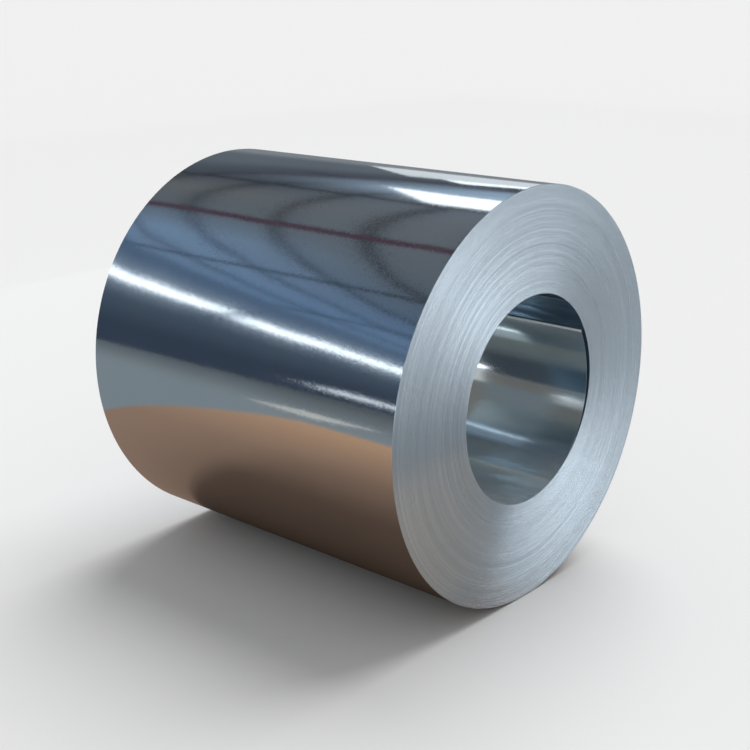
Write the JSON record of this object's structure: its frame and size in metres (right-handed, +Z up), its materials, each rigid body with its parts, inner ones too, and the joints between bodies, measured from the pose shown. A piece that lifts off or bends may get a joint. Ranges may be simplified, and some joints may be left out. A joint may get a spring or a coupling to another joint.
{
  "type": "steel coil",
  "caption": "Coil of bright steel strip wound tight around an open bore, lying on its round side, with the turns of the strip showing on both ends.",
  "frame": {"origin": "on the floor, under the middle of the coil's length", "axes": "+Z up, +Y along the bore from the front end to the back end, +X across the coil"},
  "size_m": [1.02, 1.01, 1.02],
  "materials": {
    "steel_strip": "polished"
  },
  "bodies": {
    "root": {"coil": "steel_strip"}
  },
  "joints": []
}
